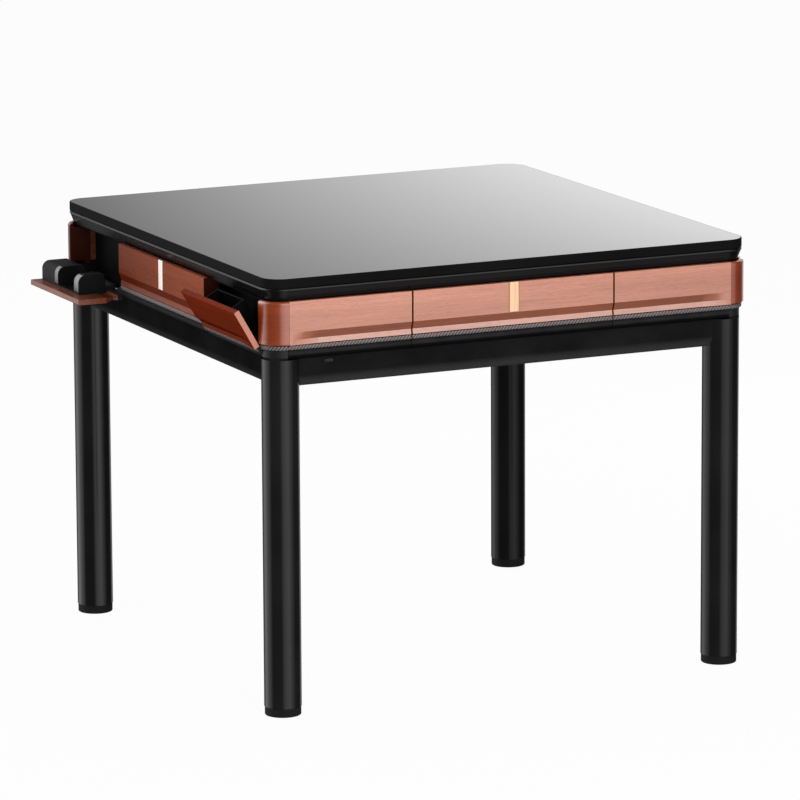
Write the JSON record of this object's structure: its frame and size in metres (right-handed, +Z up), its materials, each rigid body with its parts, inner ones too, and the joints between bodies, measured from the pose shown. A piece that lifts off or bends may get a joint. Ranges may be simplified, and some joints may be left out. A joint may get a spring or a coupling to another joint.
{
  "type": "automatic mahjong table",
  "caption": "Four-legged automatic mahjong table with a lift-off dining cover, tip-out chip trays and fold-out cup holders along every side.",
  "frame": {"origin": "on the floor, under the middle of the table", "axes": "+Z up; the front side, with the rocker switch, faces -Y; the side whose chip door and cup flap stand open faces -X"},
  "size_m": [1.0373, 0.9576, 0.79],
  "materials": {
    "cover_lacquer": "high-gloss black lacquer on board",
    "edge_band": "black edge banding",
    "rim_black": "satin black moulding",
    "rosewood": "satin rose-copper wood film",
    "bright_strip": "brushed champagne strip",
    "black_moulding": "fine-grained black moulding",
    "black_paint": "semi-gloss black powder coat",
    "black_rubber": "matt rubber",
    "pin_steel": "ground steel",
    "board": "bare board",
    "cloth": "short-pile green cloth",
    "cream_moulding": "plain moulding",
    "dial_moulding": "polished moulding",
    "clear_dome": "clear moulding",
    "dice_white": "polished",
    "button_red": "polished",
    "pulley_alloy": "turned",
    "zinc_steel": "zinc plated"
  },
  "bodies": {
    "table": {"rim_frame": "rim_black", "corner_posts": "rosewood", "corner_bases": "black_moulding", "corner_brackets": "black_paint", "foot_caps": "black_rubber", "leg_bolts": "zinc_steel", "chassis_tubes": "black_paint", "top_frame": "black_paint", "compartment_liners": "black_moulding", "middle_strips": "bright_strip", "hinge_pins": "pin_steel", "aprons": "black_paint", "bottom_plate": "black_paint", "table_board": "board", "playing_cloth": "cloth", "lift_guides": "cream_moulding", "dial_body": "dial_moulding", "dice_dome": "clear_dome", "dice": "dice_white", "drum_spindle": "pin_steel", "drum_motor": "black_paint", "drum_belt": "black_rubber", "control_box": "black_paint", "power_inlet": "black_moulding", "leg_front_left": "black_paint", "leg_front_right": "black_paint", "leg_back_left": "black_paint", "leg_back_right": "black_paint", "middle_panel_front": "rosewood", "middle_panel_right": "rosewood", "middle_panel_back": "rosewood", "middle_panel_left": "rosewood"},
    "cover": {"dining_cover": "cover_lacquer", "cover_edge_band": "edge_band", "cover_locators": "black_rubber"},
    "chip_door_front_body": {"chip_door_front": "rosewood", "chip_tray_front": "black_moulding"},
    "cup_flap_front_body": {"cup_flap_front": "rosewood", "cup_cradle_front": "black_moulding"},
    "tile_lift_front_body": {"tile_lift_front": "cream_moulding"},
    "chip_door_right_body": {"chip_door_right": "rosewood", "chip_tray_right": "black_moulding"},
    "cup_flap_right_body": {"cup_flap_right": "rosewood", "cup_cradle_right": "black_moulding"},
    "tile_lift_right_body": {"tile_lift_right": "cream_moulding"},
    "chip_door_back_body": {"chip_door_back": "rosewood", "chip_tray_back": "black_moulding"},
    "cup_flap_back_body": {"cup_flap_back": "rosewood", "cup_cradle_back": "black_moulding"},
    "tile_lift_back_body": {"tile_lift_back": "cream_moulding"},
    "chip_door_left_body": {"chip_door_left": "rosewood", "chip_tray_left": "black_moulding"},
    "cup_flap_left_body": {"cup_flap_left": "rosewood", "cup_cradle_left": "black_moulding"},
    "tile_lift_left_body": {"tile_lift_left": "cream_moulding"},
    "start_button_a_body": {"start_button_a": "button_red"},
    "start_button_b_body": {"start_button_b": "button_red"},
    "switch_body": {"rocker_switch": "black_moulding"},
    "drum_body": {"shuffling_drum": "cream_moulding"},
    "motor_rotor": {"motor_pulley": "pulley_alloy"}
  },
  "joints": [
    {"name": "cover_lift", "type": "slide", "parent": "table", "child": "cover", "axis": [0, 0, 1], "range_m": [0, 0.3]},
    {"name": "chip_door_front_hinge", "type": "hinge", "parent": "table", "child": "chip_door_front_body", "pos_m": [0.318, -0.4635, 0.655], "axis": [1, 0, 0], "range_deg": [0, 30]},
    {"name": "cup_flap_front_hinge", "type": "hinge", "parent": "table", "child": "cup_flap_front_body", "pos_m": [-0.318, -0.4635, 0.655], "axis": [1, 0, 0], "range_deg": [0, 90]},
    {"name": "tile_lift_front_slide", "type": "slide", "parent": "table", "child": "tile_lift_front_body", "axis": [0, 0, 1], "range_m": [-0.055, 0]},
    {"name": "chip_door_right_hinge", "type": "hinge", "parent": "table", "child": "chip_door_right_body", "pos_m": [0.4635, 0.318, 0.655], "axis": [0, 1, 0], "range_deg": [0, 30]},
    {"name": "cup_flap_right_hinge", "type": "hinge", "parent": "table", "child": "cup_flap_right_body", "pos_m": [0.4635, -0.318, 0.655], "axis": [0, 1, 0], "range_deg": [0, 90]},
    {"name": "tile_lift_right_slide", "type": "slide", "parent": "table", "child": "tile_lift_right_body", "axis": [0, 0, 1], "range_m": [-0.055, 0]},
    {"name": "chip_door_back_hinge", "type": "hinge", "parent": "table", "child": "chip_door_back_body", "pos_m": [-0.318, 0.4635, 0.655], "axis": [-1, 0, 0], "range_deg": [0, 30]},
    {"name": "cup_flap_back_hinge", "type": "hinge", "parent": "table", "child": "cup_flap_back_body", "pos_m": [0.318, 0.4635, 0.655], "axis": [-1, 0, 0], "range_deg": [0, 90]},
    {"name": "tile_lift_back_slide", "type": "slide", "parent": "table", "child": "tile_lift_back_body", "axis": [0, 0, 1], "range_m": [-0.055, 0]},
    {"name": "chip_door_left_hinge", "type": "hinge", "parent": "table", "child": "chip_door_left_body", "pos_m": [-0.4635, -0.318, 0.655], "axis": [0, -1, 0], "range_deg": [-30, 0]},
    {"name": "cup_flap_left_hinge", "type": "hinge", "parent": "table", "child": "cup_flap_left_body", "pos_m": [-0.4635, 0.318, 0.655], "axis": [0, -1, 0], "range_deg": [-90, 0]},
    {"name": "tile_lift_left_slide", "type": "slide", "parent": "table", "child": "tile_lift_left_body", "axis": [0, 0, 1], "range_m": [-0.055, 0]},
    {"name": "start_button_a_press", "type": "slide", "parent": "table", "child": "start_button_a_body", "axis": [0, 0, 1], "range_m": [-0.0015, 0], "stiffness_N_per_m": 300},
    {"name": "start_button_b_press", "type": "slide", "parent": "table", "child": "start_button_b_body", "axis": [0, 0, 1], "range_m": [-0.0015, 0], "stiffness_N_per_m": 300},
    {"name": "rocker_switch_tilt", "type": "hinge", "parent": "table", "child": "switch_body", "pos_m": [-0.353, -0.4565, 0.636], "axis": [0, 0, 1], "range_deg": [-8, 8]},
    {"name": "drum_spin", "type": "hinge", "parent": "table", "child": "drum_body", "pos_m": [0, 0, 0.661], "axis": [0, 0, 1], "continuous": true},
    {"name": "motor_spin", "type": "hinge", "parent": "table", "child": "motor_rotor", "pos_m": [0.16264, 0.16264, 0.65], "axis": [0, 0, 1], "continuous": true}
  ],
  "couplings": [
    {"joint": "motor_spin", "follows": "drum_spin", "ratio": 7.5}
  ]
}
